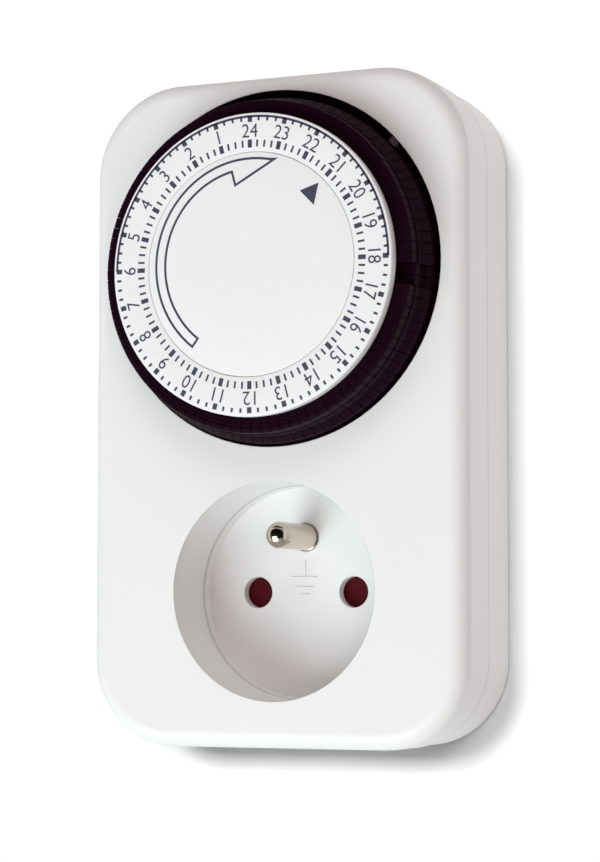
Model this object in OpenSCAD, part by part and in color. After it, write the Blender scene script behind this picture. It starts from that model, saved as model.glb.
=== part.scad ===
// Plug-in 24 hour mechanical timer switch with 96 captive tappets.
// Every piece is drawn lying face up: x to the right, y up the face, z out of
// the front face, with the socket's axis at x = y = 0 and the front face at
// z = 0.  upright() then stands it against the wall: +Z up, +Y into the wall,
// with the origin midway between the plug pins on the plug's end face.

/* [Housing] */
// Width of the housing
body_w = 72.8; // [69:0.1:80]
// Height of the housing
body_h = 120.5; // [119:0.5:130]
// Depth of the housing without the plug body
body_depth = 24.5; // [24:0.5:30]
// Depth of the joint between the two shells, behind the front face
seam_depth = 12; // [11.5:0.5:14]
// Wall thickness of both shells
wall = 2.2; // [1.8:0.1:2.4]
// Corner radius of the outline at the top
corner_top = 16.8; // [12:0.1:17]
// Corner radius of the outline at the bottom
corner_bottom = 15.8; // [9:0.1:17]
// Radius of the soft edge round the front face
front_fillet = 3; // [2:0.25:3]
// Radius of the soft edge round the back
back_fillet = 2.25; // [1:0.25:2.5]
// Step by which the rear shell is smaller than the front shell
shell_step = 0.25; // [0.1:0.05:0.4]

/* [Socket] */
// Height of the socket's axis above the bottom of the housing
socket_height = 27.8; // [26:0.1:32]
// Radius of the recess at its mouth
recess_r = 19.5; // [19:0.1:20]
// Depth of the recess
recess_depth = 14.6; // [14:0.1:15.5]
// Radial draft of the recess between mouth and floor
recess_draft = 0.35; // [0.1:0.05:0.6]
// Wall of the recess cup
cup_wall = 1.8; // [1.4:0.1:2]
// Thickness of the recess floor
floor_t = 2; // [1.6:0.1:2.2]
// Distance between the two pin holes
pin_spacing = 19; // [18:0.5:20]
// Diameter of the pin holes
pin_hole_d = 5.7; // [5.2:0.1:6]
// Height of the earth pin above the line of the holes
earth_offset = 10; // [9.5:0.1:10.5]
// Diameter of the earth pin and of the plug's pins
contact_pin_d = 4.8; // [4.6:0.1:5]
// Length of the earth pin in front of the recess floor
earth_pin_len = 14; // [12:0.5:14]

/* [Plug] */
// Diameter of the plug body on the back
plug_d = 37.5; // [37:0.1:38.5]
// Length of the plug body behind the housing
plug_len = 16; // [15:0.5:18]
// Wall of the plug body
plug_wall = 2.45; // [2.2:0.05:2.6]
// Thickness of the plug's end wall
plug_end_t = 2.5; // [2:0.1:3]
// Length of the plug pins outside the end wall
plug_pin_len = 19; // [17:0.5:20]
// Diameter of the hole for a wall socket's earth pin
earth_hole_d = 5.4; // [5.2:0.1:5.6]

/* [Dial] */
// Distance of the dial's axis below the top of the housing
dial_from_top = 35.65; // [34.7:0.05:38]
// Radius of the well that the dial turns in
well_r = 32.1; // [31.8:0.1:33]
// Height of the well's centre above the dial's axis
well_rise = 0.6; // [0:0.1:0.7]
// Depth of the well behind the front face
well_depth = 5.2; // [5:0.1:6]
// Thickness of the dark ring that lines the well
liner_t = 0.25; // [0.2:0.01:0.3]
// Thickness of the well's floor
well_floor_t = 1.4; // [1.2:0.1:1.8]
// Height of the number ring's face above the front face
dial_height = 9.8; // [9.6:0.1:11]
// Outer radius of the number ring
number_ring_r = 26.85; // [26.6:0.05:27]
// Thickness of the number ring
number_ring_t = 2.35; // [2:0.05:2.5]
// Radius of the fixed centre disc
centre_disc_r = 19.8; // [17:0.1:20]
// Thickness of the centre disc
centre_disc_t = 1.6; // [1.2:0.1:1.8]
// Radius of the fixed post that carries the dial
post_r = 5; // [4:0.1:6]
// Angle of the time pointer, clockwise from the top
pointer_angle = 45; // [35:1:55]

/* [Tappets] */
// How far the tappets' upper edge stands out beyond the number ring
tappet_reach = 2.75; // [2.5:0.05:2.85]
// How far a tappet's foot stands out beyond its upper edge
foot_reach = 1.4; // [1:0.05:1.5]
// Height above the front face where a tappet's foot starts to widen
flare_height = 3.1; // [2.8:0.1:3.4]
// Height above the front face where a tappet's foot is at its full radius
ledge_height = 1.6; // [1.2:0.1:2]
// Travel of a tappet when it is pressed
tappet_travel = 2.1; // [1.6:0.1:2.1]
// Angle left open between neighbouring tappets
tappet_gap_angle = 0.35; // [0.25:0.05:0.6]
// Thickness of the carrier's guide fins, as an angle
fin_angle = 1.2; // [1:0.05:1.3]

/* [Gears] */
// Depth of the ring gear from the drum's outside to its pitch circle
ring_gear_depth = 4.4; // [4:0.1:4.8]
// Tooth module of the wheel and the motor pinion
wheel_module = 0.4; // [0.38:0.01:0.42]
// Thickness of the ring gear
ring_gear_t = 2.4; // [2:0.1:2.4]
// Thickness of the wheel
wheel_t = 1.8; // [1.4:0.1:2]
// Direction of the reduction gear from the dial's axis
train_angle = 250; // [246:1:254]
// Radius of the motor
motor_r = 17; // [14:0.5:17]
// Thickness of the motor
motor_t = 7.4; // [6:0.1:7.4]

/* [Fits] */
// Radial clearance of a shaft that turns in a bore
running_fit = 0.03; // [0.02:0.01:0.08]
// Gap between pieces that pass without touching
free_gap = 0.3; // [0.2:0.05:0.35]

/* [Hidden] */
$fn = 64;
tappet_count = 96;
group_count = 24;
group_size = tappet_count / group_count;
tappet_pitch = 360 / tappet_count;
hour_pitch = 360 / group_count;
// The hour of the two tappets that are pressed, and their places in it
pressed_hour = 17;
pressed_slots = [2, 3];
raised_slots = [0, 1];

function two_digits(n) = n < 10 ? str("0", n) : str(n);
function tappets_name(hour) = str("tappets_", two_digits(hour));

// Heights and radii that follow from the driving dimensions
body_top = body_h - socket_height;
dial_y = body_top - dial_from_top;
pin_x = pin_spacing / 2;
pin_r = contact_pin_d / 2;
recess_floor_z = -recess_depth;
floor_back_z = recess_floor_z - floor_t;
back_z = -body_depth;
inner_back_z = back_z + wall;
plug_face_z = back_z - plug_len;
plug_inner_z = plug_face_z + plug_end_t;
plug_r = plug_d / 2;
plug_bore_r = plug_r - plug_wall;
well_floor_z = -well_depth;
well_back_z = well_floor_z - well_floor_t;
liner_drop = 0.15;

// Shutter, directly behind the recess floor
shutter_gap = 0.2;
shutter_t = 1.6;
shutter_z = floor_back_z - shutter_gap;
shutter_post_r = 2;
shutter_blade_r = pin_hole_d / 2 + 0.7;
spring_wire = 0.5;
spring_r = 3;

// Contact block that fills the plug body
block_front_z = shutter_z - shutter_t - 1.1;
block_back_z = plug_inner_z + 2.9;
block_r = plug_bore_r - 1.1;
clip_t = 0.5;
clip_w = 5;
clip_inner = contact_pin_d - 0.1;
clip_base_z = block_back_z + 0.8;
pocket_margin = 0.25;
head_r = 3.4;
head_t = 2;
shank_r = pin_r + 0.2;
sleeve_r = pin_r + 1;
collar_t = 0.2;
strip_t = 0.8;

// Screws and bosses
screw_r = 1.3;
screw_head_r = 2.6;
screw_head_t = 1.5;
boss_r = 3;
screw_places = [
    for (side = [-1, 1]) [side * (body_w / 2 - corner_top + 7), body_top - corner_top + 7],
    for (side = [-1, 1]) [side * (body_w / 2 - corner_bottom + 6.5), corner_bottom - socket_height - 6.5]];

// Dial
ring_bottom_z = dial_height - number_ring_t;
web_t = 1.4;
drum_r = number_ring_r - 0.85;
tappet_edge_r = number_ring_r + tappet_reach;
tappet_foot_r = tappet_edge_r + foot_reach;
drum_wall = 2.6;
drum_bottom_z = well_floor_z + 0.4;
fin_r = drum_r + 1.9;
hub_r = post_r + 3;
disc_stem_r = 3;
fin_top_z = 2.5;
fin_bottom_z = -3.4;
head_top_z = ring_bottom_z - 0.1;
head_bottom_z = fin_top_z + tappet_travel + free_gap;
foot_bottom_z = -2.6;
tappet_inner_r = drum_r + 0.1;
wide_angle = tappet_pitch - tappet_gap_angle;
stem_angle = tappet_pitch - fin_angle - 0.5;

// Gear train
ring_teeth = 96;
pinion_teeth = 12;
wheel_teeth = 60;
motor_teeth = 10;
ring_pitch_r = drum_r - ring_gear_depth;
ring_module = 2 * ring_pitch_r / ring_teeth;
pinion_pitch_r = pinion_teeth * ring_module / 2;
wheel_pitch_r = wheel_teeth * wheel_module / 2;
motor_pitch_r = motor_teeth * wheel_module / 2;
train_reach = ring_pitch_r - pinion_pitch_r;
arbor_r = 0.8;
arbor = [train_reach * cos(train_angle), dial_y + train_reach * sin(train_angle)];
motor_angle = 110;
motor_reach = wheel_pitch_r + motor_pitch_r;
motor_place = arbor + motor_reach * [cos(motor_angle), sin(motor_angle)];
ring_gear_z = drum_bottom_z + 0.1;
shoulder_z = ring_gear_z + ring_gear_t + 0.4;
wheel_z = well_back_z - 5.8;
plate_z = wheel_z - 0.6;
plate_t = 1.2;
motor_top_z = plate_z - plate_t;
stand_off_r = 2.2;
plate_screw_r = 1;
stand_off_places = [[3.6 - well_r, dial_y + 8], [8, dial_y + well_r - 10.1], [10, dial_y + 10.1 - well_r]];

// Switch: everything is placed along the pointer's direction
lever_pivot_r = 21.5;
lever_pivot_z = well_back_z - 2;
lever_pin_r = 0.75;
lever_eye_r = 1.7;
lever_w = 5;
lever_t = 1.6;
lever_top_z = well_back_z - 0.8;
nose_in_r = fin_r + 0.4;
nose_out_r = fin_r + 1.5;
nose_half = 0.85;
nose_tip_z = foot_bottom_z - free_gap;
pusher_r = fin_r - 0.9;
leaf_t = 0.4;
leaf_w = 4;
leaf_z = lever_top_z - lever_t - 2.2;
rivet_place = 1.5;
rivet_r = 1.6;
rivet_t = 0.6;
contact_gap = 2.05;
fixed_z = leaf_z - leaf_t - 2 * rivet_t - contact_gap;
block_in_r = pusher_r - 3;
block_out_r = pusher_r + 2.4;
block_end = -15.4;
leaf_seat_end = -12.6;
fixed_seat_end = -8.5;
bar_w = 4;
switched_bar_x = 20;
live_bar_x = 27.5;
switched_bar_z = back_z + 4.5;
live_bar_z = back_z + 3;

housing_color = [0.93, 0.93, 0.92];
tappet_color = [0.13, 0.09, 0.11];

// ---- frames and shared forms ------------------------------------------------

// Stands a piece that is drawn face up
module upright() {
    translate([0, -(body_depth + plug_len), 0]) rotate([90, 0, 0]) children();
}

// Moves a piece to the dial's axis
module on_dial() {
    translate([0, dial_y, 0]) children();
}

// Turns the x axis outwards along the time pointer
module on_pointer() {
    on_dial() rotate([0, 0, 90 - pointer_angle]) children();
}

// A cylinder between two heights
module rod(r, low, high) {
    translate([0, 0, low]) cylinder(h = high - low, r = r);
}

// An outline extruded between two heights
module slab(low, high) {
    translate([0, 0, low]) linear_extrude(high - low) children();
}

// A box given by its two corners
module block(low, high) {
    translate(low) cube(high - low);
}

// Centres of the outline's corners, each with its radius and start angle
function corners(inset) = [
    [body_w / 2 - corner_top, body_top - corner_top, corner_top - inset, 0],
    [-body_w / 2 + corner_top, body_top - corner_top, corner_top - inset, 90],
    [-body_w / 2 + corner_bottom, corner_bottom - socket_height, corner_bottom - inset, 180],
    [body_w / 2 - corner_bottom, corner_bottom - socket_height, corner_bottom - inset, 270]];

// The housing's outline, moved inwards
module outline(inset) {
    half_w = body_w / 2 - inset;
    top = body_top - inset;
    bottom = inset - socket_height;
    low = corner_bottom - socket_height;
    high = body_top - corner_top;
    for (corner = corners(inset)) translate([corner[0], corner[1]]) circle(r = corner[2]);
    translate([-half_w, low]) square([2 * half_w, high - low]);
    translate([corner_bottom - body_w / 2, bottom]) square([body_w - 2 * corner_bottom, low - bottom]);
    translate([corner_top - body_w / 2, high]) square([body_w - 2 * corner_top, top - high]);
}

// A quarter round, as wide and as high as its radius
module quarter_round(r) {
    intersection() {
        circle(r = r);
        square(r);
    }
}

// The block inside the outline with one soft edge at its top
module soft_block(inset, low, high, fillet) {
    x = body_w / 2 - inset - fillet;
    top = body_top - inset - fillet;
    bottom = inset + fillet - socket_height;
    high_y = body_top - corner_top;
    low_y = corner_bottom - socket_height;
    base = high - fillet;
    slab(low, base) outline(inset);
    slab(base, high) outline(inset + fillet);
    for (corner = corners(inset))
        translate([corner[0], corner[1], base])
            rotate([0, 0, corner[3]])
                rotate_extrude(angle = 90)
                    translate([corner[2] - fillet, 0]) quarter_round(fillet);
    for (side = [0, 1])
        mirror([side, 0, 0])
            translate([x, high_y, base])
                rotate([90, 0, 0]) linear_extrude(high_y - low_y) quarter_round(fillet);
    translate([corner_top - body_w / 2, top, base])
        rotate([90, 0, 90]) linear_extrude(body_w - 2 * corner_top) quarter_round(fillet);
    translate([body_w / 2 - corner_bottom, bottom, base])
        rotate([90, 0, 270]) linear_extrude(body_w - 2 * corner_bottom) quarter_round(fillet);
}

// Outline of a toothed wheel: each flank is two straight steps from root to
// tip, and extra widens the teeth by a part of their pitch
function tooth_points(teeth, module_size, addendum, dedendum, extra = 0) =
    let (pitch_r = teeth * module_size / 2, step = 360 / teeth)
    [for (i = [0 : teeth - 1], p = [
        [-0.38 - extra, -dedendum], [-0.235 - extra, 0], [-0.11 - extra, addendum],
        [0.11 + extra, addendum], [0.235 + extra, 0], [0.38 + extra, -dedendum]])
        (pitch_r + p[1] * module_size)
            * [cos((i + p[0]) * step), sin((i + p[0]) * step)]];

// A toothed wheel, turned so that the given angle points at a tooth
module toothed(teeth, module_size, at_angle) {
    rotate(at_angle) polygon(tooth_points(teeth, module_size, 0.85, 1.1));
}

// ---- housing ----------------------------------------------------------------

// Cup of the socket recess, hung from the front wall
module recess_cup() {
    outer = recess_r + cup_wall;
    rotate_extrude() polygon([
        [0, -wall / 2], [outer, -wall / 2],
        [outer - recess_draft, floor_back_z], [0, floor_back_z]]);
}

// The space of the recess, with a small round at its mouth
module recess_space() {
    edge = 0.6;
    rotate_extrude() polygon(concat(
        [[0, 1], [recess_r + edge, 1]],
        [for (a = [90 : -18 : 0]) [recess_r + edge - edge * cos(90 - a), -edge + edge * sin(a)]],
        [[recess_r - recess_draft, recess_floor_z], [0, recess_floor_z]]));
}

// Solid around the dial's well, and the fixed post in its middle
module well_cup() {
    on_dial() {
        translate([0, well_rise, 0]) rod(well_r + 1.3, well_back_z, -wall);
    }
}

module front_shell() {
    color(housing_color) upright() difference() {
        union() {
            difference() {
                soft_block(0, -seam_depth, 0, front_fillet);
                slab(-seam_depth - 1, -wall) outline(wall);
            }
            well_cup();
            recess_cup();
            for (place = screw_places)
                translate(place) rod(boss_r, -seam_depth, -wall / 2);
            for (place = stand_off_places)
                translate(place) rod(stand_off_r, plate_z, well_back_z + 0.5);
            lever_ears();
            rod(shutter_post_r, block_front_z + 0.1, floor_back_z + 0.5);
        }
        difference() {
            on_dial() translate([0, well_rise, 0]) rod(well_r, well_floor_z, 1);
            on_dial() rod(post_r, well_floor_z - 1, ring_bottom_z - 0.5);
        }
        on_dial() rod(disc_stem_r + running_fit, -3, dial_height);
        recess_space();
        for (side = [-1, 1])
            translate([side * pin_x, 0]) rod(pin_hole_d / 2, floor_back_z - 1, recess_floor_z + 1);
        translate([0, earth_offset]) rod(shank_r + 0.05, floor_back_z - 1, recess_floor_z + 1);
        for (place = screw_places)
            translate(place) rod(screw_r + 0.04, -seam_depth - 1, -wall - 3);
        for (place = stand_off_places)
            translate(place) rod(plate_screw_r + 0.04, plate_z - 1, well_back_z - 1);
        translate(arbor) rod(pinion_pitch_r + ring_module + 0.5, well_back_z - 1, well_floor_z + 1);
        on_pointer() block([nose_in_r - 0.5, -1.4, well_back_z - 1], [nose_out_r + 1.5, 1.4, well_floor_z + 1]);
        on_pointer() lever_pin_bore();
    }
}

// Small tab on the rim of the well that marks the time
module pointer_tab() {
    on_pointer() block([tappet_foot_r + 0.2, -0.85, -1.2], [well_r + 1, 0.85, 0]);
}

// Dark ring with a foot flange that lines the well, and carries the tab
module well_liner() {
    outer = well_r - 0.03;
    color(tappet_color) upright() difference() {
        on_dial() translate([0, well_rise, 0]) rod(outer, well_floor_z, -liner_drop);
        difference() {
            on_dial() translate([0, well_rise, 0]) rod(outer - liner_t, well_floor_z + liner_t, 1);
            pointer_tab();
        }
        on_dial() translate([0, well_rise, 0]) rod(outer - liner_t - 1.2, well_floor_z - 1, 1);
    }
}

// Two ears behind the well's floor that hold the lever's pin
module lever_ears() {
    on_pointer() for (side = [-1, 1])
        translate([lever_pivot_r, side * (lever_w / 2 + 0.9), 0])
            block([-1.7, -0.6, lever_pivot_z - 1.7], [1.7, 0.6, well_back_z + 0.5]);
}

module lever_pin_bore() {
    translate([lever_pivot_r, 0, lever_pivot_z])
        rotate([90, 0, 0]) cylinder(h = 2 * lever_w, r = lever_pin_r + 0.02, center = true);
}

// Turns an extrusion so that it ends in a soft edge at the back
module facing_back() {
    mirror([0, 0, 1]) children();
}

module rear_shell() {
    tongue_t = 0.9;
    tongue_h = 1.5;
    color(housing_color * 0.97) upright() difference() {
        union() {
            difference() {
                facing_back() soft_block(shell_step, seam_depth, body_depth, back_fillet);
                slab(inner_back_z, -seam_depth + 1) outline(wall + shell_step);
            }
            difference() {
                slab(-seam_depth - 1, -seam_depth + tongue_h) outline(wall + 0.05);
                slab(-seam_depth - 2, -seam_depth + tongue_h + 1) outline(wall + tongue_t);
            }
            rotate_extrude() polygon([
                [plug_bore_r - 1, back_z + 1], [plug_r, back_z + 1], [plug_r, plug_face_z + 1],
                [plug_r - 0.3, plug_face_z + 0.3], [plug_r - 1, plug_face_z], [0, plug_face_z],
                [0, plug_inner_z - 1], [plug_bore_r - 1, plug_inner_z - 1]]);
            for (place = screw_places)
                translate(place) rod(boss_r, back_z + wall / 2, -seam_depth);
            on_pointer() block([block_in_r + 0.5, -12, back_z + 1],
                               [block_out_r - 0.5, fixed_seat_end, live_bar_z]);
        }
        rod(plug_bore_r, plug_inner_z, inner_back_z + 1);
        for (place = screw_places) translate(place) {
            rod(screw_r + 0.1, back_z - 1, -seam_depth + 1);
            rod(screw_head_r + 0.1, back_z - 1, back_z + screw_head_t + 0.4);
        }
        for (side = [-1, 1])
            translate([side * pin_x, 0]) rod(shank_r + 0.02, plug_face_z - 1, plug_inner_z + 1);
        translate([0, earth_offset]) rod(earth_hole_d / 2, plug_face_z - 1, plug_inner_z + 1);
        for (side = [-1, 1]) {
            clip_groove(side);
            guide_groove(side);
        }
    }
}

groove_depth = 1.5;
clip_groove_w = 6.4;
guide_groove_w = 5.4;
// Height at which the earth clips' tabs pass through the plug body's wall
tab_z = plug_inner_z + 1.2;

// Groove at the top and the bottom of the plug body for an earth clip
module clip_groove(side) {
    rotate([0, 0, side * 90]) {
        block([plug_r - groove_depth, -clip_groove_w / 2, plug_face_z - 1],
              [plug_r + 1, clip_groove_w / 2, back_z - 0.8]);
        block([plug_bore_r - 1, -2.6, tab_z - 0.1],
              [plug_r + 1, 2.6, tab_z + strip_t + 0.1]);
    }
}

// Groove at each side of the plug body for the wall socket's guide ribs
module guide_groove(side) {
    block([side > 0 ? plug_r - groove_depth : -plug_r - 1, -guide_groove_w / 2, plug_face_z - 1],
          [side > 0 ? plug_r + 1 : -plug_r + groove_depth, guide_groove_w / 2, back_z - 0.8]);
}

module case_screws() {
    color("silver") upright() for (place = screw_places) translate(place) difference() {
        union() {
            rod(screw_r, back_z + 1, -wall - 3.5);
            rod(screw_head_r, back_z + 0.4, back_z + 0.4 + screw_head_t);
        }
        for (turn = [0, 90])
            rotate(turn) block([-1.6, -0.3, back_z - 1], [1.6, 0.3, back_z + 1.1]);
    }
}

// ---- dial -------------------------------------------------------------------

module centre_disc() {
    color([0.95, 0.95, 0.95]) upright() on_dial() {
        rod(centre_disc_r, dial_height - centre_disc_t, dial_height);
        rod(post_r + 1.5, ring_bottom_z + 0.15, dial_height - 0.5);
        rod(disc_stem_r, -2.9, dial_height - 0.5);
    }
}

module number_ring() {
    edge = 0.25;
    color([0.95, 0.95, 0.95]) upright() on_dial() rotate_extrude() polygon([
        [centre_disc_r + 0.15, ring_bottom_z], [number_ring_r - 0.15, ring_bottom_z],
        [number_ring_r - 0.15, ring_bottom_z + 0.9], [number_ring_r, ring_bottom_z + 1],
        [number_ring_r, dial_height - edge], [number_ring_r - edge, dial_height],
        [centre_disc_r + 0.15, dial_height]]);
}

// Drum with a web and a hub, and one guide fin between each two tappets
module tappet_carrier() {
    color(tappet_color) upright() on_dial() {
        rotate_extrude() polygon([
            [post_r + running_fit, ring_bottom_z], [drum_r, ring_bottom_z],
            [drum_r, drum_bottom_z], [drum_r - 1.5, drum_bottom_z],
            [drum_r - 1.5, shoulder_z], [drum_r - drum_wall, shoulder_z],
            [drum_r - drum_wall, ring_bottom_z - web_t], [hub_r, ring_bottom_z - web_t],
            [hub_r, 0], [post_r + running_fit, 0]]);
        difference() {
            slab(fin_bottom_z, fin_top_z) polygon([
                for (i = [0 : tappet_count - 1], p = [
                    [drum_r - 0.5, -0.5], [fin_r, -0.5], [fin_r, 0.5], [drum_r - 0.5, 0.5]])
                    p[0] * [cos((i + 0.5) * tappet_pitch + p[1] * fin_angle),
                            sin((i + 0.5) * tappet_pitch + p[1] * fin_angle)]]);
            rod(drum_r - 1, fin_bottom_z - 1, fin_top_z + 1);
        }
    }
}

// One tappet, centred on the x axis
module tappet() {
    groove = 0.15;
    shoulder = 4.9;
    edge = 0.25;
    rotate([0, 0, -wide_angle / 2]) rotate_extrude(angle = wide_angle) polygon(concat(
        [[tappet_inner_r, head_bottom_z], [tappet_inner_r, head_top_z]],
        [for (r = [1.75, 2.45, 3.15], p = [[-groove, 0], [0, -0.4], [groove, 0]])
            [number_ring_r - 1.5 + r + p[0], head_top_z + p[1]]],
        [[tappet_edge_r - edge, head_top_z], [tappet_edge_r, head_top_z - edge],
         [tappet_edge_r, shoulder], [tappet_edge_r + edge, shoulder],
         [tappet_edge_r + edge, flare_height],
         [tappet_foot_r, ledge_height], [tappet_foot_r, foot_bottom_z],
         [fin_r + 0.25, foot_bottom_z], [fin_r + 0.25, head_bottom_z]]));
    rotate([0, 0, -stem_angle / 2]) rotate_extrude(angle = stem_angle) polygon([
        [tappet_inner_r, foot_bottom_z], [fin_r + 0.5, foot_bottom_z],
        [fin_r + 0.5, head_bottom_z + 0.5], [tappet_inner_r, head_bottom_z + 0.5]]);
}

// Tappets of one hour, pressed in by a distance: the hours run anticlockwise
// from 24 at the top
module tappets(hour, slots, pressed) {
    color(tappet_color) upright() on_dial() translate([0, 0, -pressed])
        for (slot = slots)
            rotate([0, 0, 90 + hour * hour_pitch + slot * tappet_pitch]) tappet();
}

module ring_gear() {
    root_r = ring_pitch_r + 1.1 * ring_module;
    color([0.85, 0.85, 0.8]) upright() on_dial() slab(ring_gear_z, ring_gear_z + ring_gear_t)
        difference() {
            circle(r = drum_r - 1.55);
            rotate(train_angle) polygon(tooth_points(ring_teeth, ring_module, 1.1, 0.85, 0.06));
        }
}

module clutch_washer() {
    color("silver") upright() on_dial() slab(ring_gear_z + ring_gear_t, shoulder_z) difference() {
        circle(r = drum_r - 1.6);
        circle(r = ring_pitch_r + 1);
    }
}

// ---- movement ---------------------------------------------------------------

module reduction_gear() {
    bore_r = arbor_r + running_fit;
    color([0.9, 0.88, 0.8]) upright() translate(arbor) difference() {
        union() {
            slab(wheel_z, ring_gear_z + ring_gear_t - 0.2)
                toothed(pinion_teeth, ring_module, train_angle);
            slab(wheel_z, wheel_z + wheel_t)
                toothed(wheel_teeth, wheel_module, motor_angle + 180 / wheel_teeth);
        }
        rod(bore_r, wheel_z - 1, ring_gear_z + ring_gear_t + 1);
    }
}

module reduction_arbor() {
    color("silver") upright() translate(arbor)
        rod(arbor_r, plate_z - plate_t + 0.1, ring_gear_z + ring_gear_t + 0.4);
}

// Plate that carries the arbor and the motor
module movement_plate() {
    color([0.75, 0.75, 0.72]) upright() slab(plate_z - plate_t, plate_z) difference() {
        union() {
            translate(motor_place) circle(r = motor_r - 1);
            translate(arbor) circle(r = 5);
            for (place = stand_off_places) translate(place) circle(r = 3.2);
            plate_arm(stand_off_places[0]);
            plate_arm(stand_off_places[1]);
            plate_arm(stand_off_places[2]);
        }
        translate(arbor) circle(r = arbor_r + 0.02);
        translate(motor_place) circle(r = 1.5);
        for (place = stand_off_places) translate(place) circle(r = plate_screw_r + 0.1);
    }
}

// Straight arm of the plate from the motor's axis to a stand-off
module plate_arm(place) {
    reach = place - motor_place;
    translate(motor_place) rotate(atan2(reach[1], reach[0]))
        translate([0, -3.2]) square([norm(reach), 6.4]);
}

module plate_screws() {
    color("silver") upright() for (place = stand_off_places) translate(place) difference() {
        union() {
            rod(plate_screw_r, plate_z - plate_t, well_back_z - 1.2);
            rod(2, plate_z - plate_t - 1.2, plate_z - plate_t);
        }
        block([-1.4, -0.25, plate_z - plate_t - 2], [1.4, 0.25, plate_z - plate_t - 0.7]);
    }
}

module motor() {
    color([0.7, 0.7, 0.72]) upright() translate(motor_place) difference() {
        union() {
            rod(motor_r, motor_top_z - motor_t, motor_top_z - 0.8);
            rod(motor_r - 0.8, motor_top_z - 0.8, motor_top_z);
            rotate([0, 0, 60]) block([motor_r - 1, -5, motor_top_z - motor_t + 1],
                                     [motor_r + 3, 5, motor_top_z - 1.5]);
        }
        rod(arbor_r + running_fit, motor_top_z - 3.2, motor_top_z + 1);
    }
}

module motor_pinion() {
    color([0.8, 0.72, 0.5]) upright() translate(motor_place) {
        slab(wheel_z + 0.1, wheel_z + wheel_t + 0.3)
            toothed(motor_teeth, wheel_module, motor_angle + 180);
        rod(arbor_r, motor_top_z - 3, wheel_z + 0.5);
    }
}

// ---- switch -----------------------------------------------------------------

module switch_lever() {
    color([0.2, 0.35, 0.6]) upright() on_pointer() difference() {
        union() {
            block([lever_pivot_r, -lever_w / 2, lever_top_z - lever_t],
                  [nose_out_r, lever_w / 2, lever_top_z]);
            translate([lever_pivot_r, 0, lever_pivot_z])
                rotate([90, 0, 0]) cylinder(h = lever_w, r = lever_eye_r, center = true);
            translate([nose_in_r, 0, 0]) rotate([90, 0, 90])
                linear_extrude(nose_out_r - nose_in_r) polygon([
                    [-nose_half, lever_top_z - 0.5], [nose_half, lever_top_z - 0.5],
                    [nose_half, nose_tip_z - 1], [0.4, nose_tip_z], [-0.4, nose_tip_z],
                    [-nose_half, nose_tip_z - 1]]);
            block([pusher_r - 1, -1, leaf_z + 0.2], [pusher_r + 1, 1, lever_top_z - 0.5]);
        }
        translate([lever_pivot_r, 0, lever_pivot_z])
            rotate([90, 0, 0]) cylinder(h = 2 * lever_w, r = lever_pin_r + running_fit, center = true);
    }
}

module lever_pin() {
    color("silver") upright() on_pointer() translate([lever_pivot_r, 0, lever_pivot_z])
        rotate([90, 0, 0]) cylinder(h = lever_w + 3, r = lever_pin_r, center = true);
}

// Insulating block with a seat for the leaf and a lower one for the contact
module switch_block() {
    color([0.85, 0.85, 0.82]) upright() on_pointer() {
        block([block_in_r, block_end, live_bar_z], [block_out_r, fixed_seat_end, fixed_z - strip_t]);
        block([block_in_r, block_end, live_bar_z], [block_out_r, leaf_seat_end, leaf_z - leaf_t]);
    }
}

// Spring leaf from its seat to the moving contact under the lever
module contact_leaf() {
    color([0.8, 0.6, 0.3]) upright() on_pointer() {
        block([pusher_r - leaf_w / 2, block_end - strip_t, leaf_z - leaf_t],
              [pusher_r + leaf_w / 2, rivet_place + 2, leaf_z]);
        translate([pusher_r, rivet_place]) rod(rivet_r, leaf_z - leaf_t - rivet_t, leaf_z - 0.1);
    }
}

module fixed_contact() {
    color([0.8, 0.6, 0.3]) upright() on_pointer() {
        translate([pusher_r, rivet_place]) rod(rivet_r, fixed_z - 0.1, fixed_z + rivet_t);
        block([pusher_r - leaf_w / 2, leaf_seat_end + 0.3, fixed_z - strip_t],
              [pusher_r + leaf_w / 2, rivet_place + 2, fixed_z]);
        block([block_in_r - strip_t, leaf_seat_end + 0.6, fixed_z - strip_t],
              [pusher_r, fixed_seat_end - 0.5, fixed_z]);
    }
}

// Bar from the live plug pin to the root of the spring leaf
module live_bar() {
    top = plug_inner_z + head_t;
    riser_x = block_r - strip_t;
    block([pin_x - 2, -1.8, top], [riser_x + strip_t, 1.8, top + strip_t]);
    block([riser_x, -1.8, top], [riser_x + strip_t, 1.8, live_bar_z]);
    block([riser_x, -1.8, live_bar_z - strip_t], [live_bar_x + bar_w, 1.8, live_bar_z]);
    block([live_bar_x, -1.8, live_bar_z - strip_t], [live_bar_x + bar_w, dial_y + 7.7, live_bar_z]);
    on_pointer() block([pusher_r - leaf_w / 2, block_end - strip_t, live_bar_z - strip_t],
                       [pusher_r + leaf_w / 2, block_end, leaf_z - leaf_t]);
}

module live_busbar() {
    color([0.8, 0.6, 0.3]) upright() live_bar();
}

module switched_busbar() {
    color([0.8, 0.6, 0.3]) upright() {
        block([pin_x + clip_inner / 2 + clip_t, -1.8, switched_bar_z - strip_t],
              [switched_bar_x + bar_w, 1.8, switched_bar_z]);
        block([switched_bar_x, -1.8, switched_bar_z - strip_t],
              [switched_bar_x + bar_w, dial_y + 9, switched_bar_z]);
        on_pointer() block([block_in_r - 3.5, leaf_seat_end + 0.6, switched_bar_z - strip_t],
                           [block_in_r, fixed_seat_end - 0.5, switched_bar_z]);
        on_pointer() block([block_in_r - strip_t, leaf_seat_end + 0.6, switched_bar_z - strip_t],
                           [block_in_r, fixed_seat_end - 0.5, fixed_z - strip_t]);
    }
}

// ---- socket contacts, shutter and earth ----------------------------------------

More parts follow.
